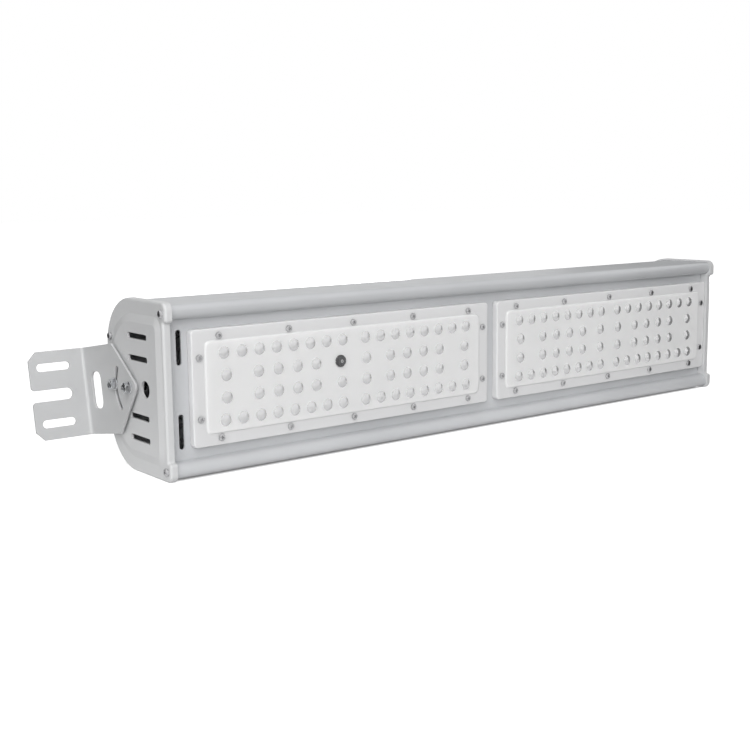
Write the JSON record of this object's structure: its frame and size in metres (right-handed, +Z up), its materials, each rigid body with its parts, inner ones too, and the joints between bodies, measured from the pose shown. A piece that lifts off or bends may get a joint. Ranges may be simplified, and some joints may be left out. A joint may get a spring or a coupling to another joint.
{
  "type": "linear high bay light",
  "caption": "Linear high bay LED light: long rounded aluminium housing, two lensed light modules on its front, vented end caps, and tilting slotted mounting brackets at both ends.",
  "frame": {"origin": "on the surface that the light stands on, under the middle of its overall box", "axes": "+X along the light, towards the end without a cable hole; -Y is the way the lenses face; +Z up, with the light standing on its lower long side"},
  "size_m": [0.709, 0.1252, 0.1274],
  "materials": {
    "housing_paint": "pale grey powder coat on an aluminium extrusion",
    "cap_paint": "pale grey powder coat on cast aluminium",
    "lens_plastic": "milky moulded polycarbonate, lightly polished",
    "screw_steel": "plain steel pan head",
    "seal_rubber": "soft silicone",
    "board_white": "white solder mask",
    "chip_yellow": "phosphor over white package",
    "connector_white": "moulded nylon",
    "plug_dark": "moulded, slightly rough",
    "tray_steel": "bare zinc-coated sheet",
    "driver_metal": "extruded, lightly brushed",
    "terminal_plastic": "moulded polyamide",
    "lead_insulation": "satin insulation",
    "bracket_paint": "pale grey powder coat on bent steel sheet",
    "hardware_zinc": "zinc plated",
    "spring_steel": "zinc plated spring steel"
  },
  "bodies": {
    "light": {"breather_plug": "plug_dark", "driver_case": "driver_metal", "driver_screws": "screw_steel", "driver_tray": "tray_steel", "housing": "housing_paint", "left_board_connector": "connector_white", "left_board_lead": "lead_insulation", "left_cap_screws": "screw_steel", "left_clinch_nuts": "hardware_zinc", "left_end_cap": "cap_paint", "left_flat_washers": "hardware_zinc", "left_led_board": "board_white", "left_led_chips": "chip_yellow", "left_lens_plate": "lens_plastic", "left_lens_screws": "screw_steel", "left_lens_seal": "seal_rubber", "left_lock_bolt": "hardware_zinc", "left_pivot_bolt": "hardware_zinc", "left_spacers": "hardware_zinc", "left_spring_washers": "spring_steel", "mains_lead": "lead_insulation", "mains_terminal": "terminal_plastic", "right_board_connector": "connector_white", "right_board_lead": "lead_insulation", "right_cap_screws": "screw_steel", "right_clinch_nuts": "hardware_zinc", "right_end_cap": "cap_paint", "right_flat_washers": "hardware_zinc", "right_led_board": "board_white", "right_led_chips": "chip_yellow", "right_lens_plate": "lens_plastic", "right_lens_screws": "screw_steel", "right_lens_seal": "seal_rubber", "right_lock_bolt": "hardware_zinc", "right_pivot_bolt": "hardware_zinc", "right_spacers": "hardware_zinc", "right_spring_washers": "spring_steel"},
    "left_bracket": {"left_bracket": "bracket_paint"},
    "right_bracket": {"right_bracket": "bracket_paint"}
  },
  "joints": [
    {"name": "left_bracket_tilt", "type": "hinge", "parent": "light", "child": "left_bracket", "pos_m": [-0.3095, -0.0158, 0.0637], "axis": [1, 0, 0], "range_deg": [-28.7, 47.3]},
    {"name": "right_bracket_tilt", "type": "hinge", "parent": "light", "child": "right_bracket", "pos_m": [0.3095, -0.0158, 0.0637], "axis": [1, 0, 0], "range_deg": [-28.7, 47.3]}
  ]
}
